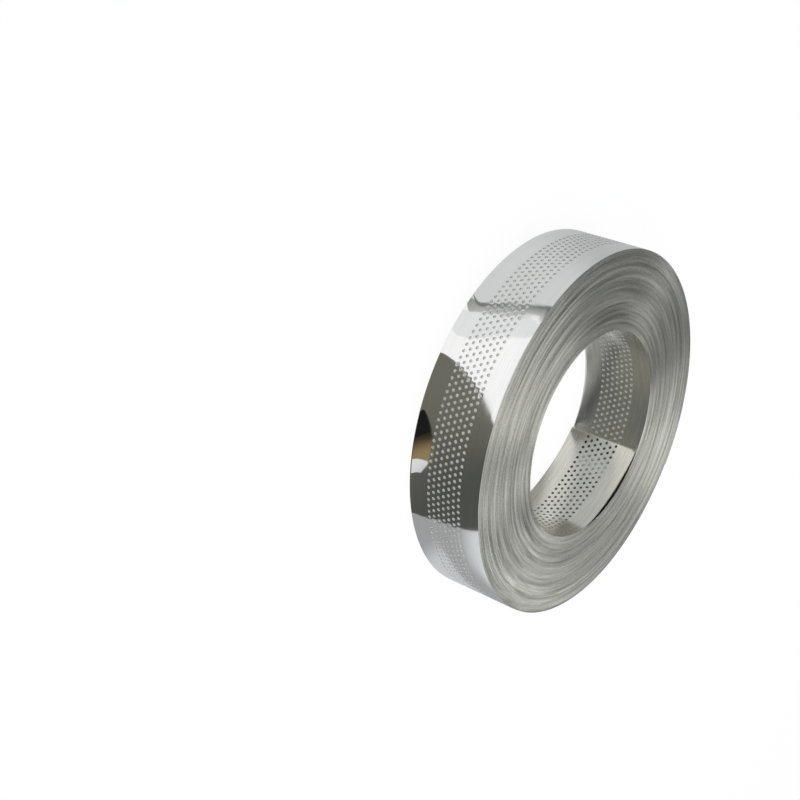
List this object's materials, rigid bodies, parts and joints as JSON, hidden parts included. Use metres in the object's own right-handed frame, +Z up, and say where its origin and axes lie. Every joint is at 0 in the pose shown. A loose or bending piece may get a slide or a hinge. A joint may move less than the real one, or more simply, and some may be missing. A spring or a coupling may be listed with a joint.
{
  "type": "roll of perforated metal strap",
  "caption": "Flat coil of polished steel strap, punched with a band of small round holes and wound tightly around an open bore, lying on its end.",
  "frame": {"origin": "on the floor in the middle of the bore, on the coil's axis", "axes": "+Z up along the coil's axis, +X and +Y across it"},
  "size_m": [0.17, 0.17, 0.0365],
  "materials": {
    "strap": "mirror-polished stainless steel on the outer face, duller on the inner face and the slit edges"
  },
  "bodies": {
    "root": {"strap_coil": "strap"}
  },
  "joints": []
}
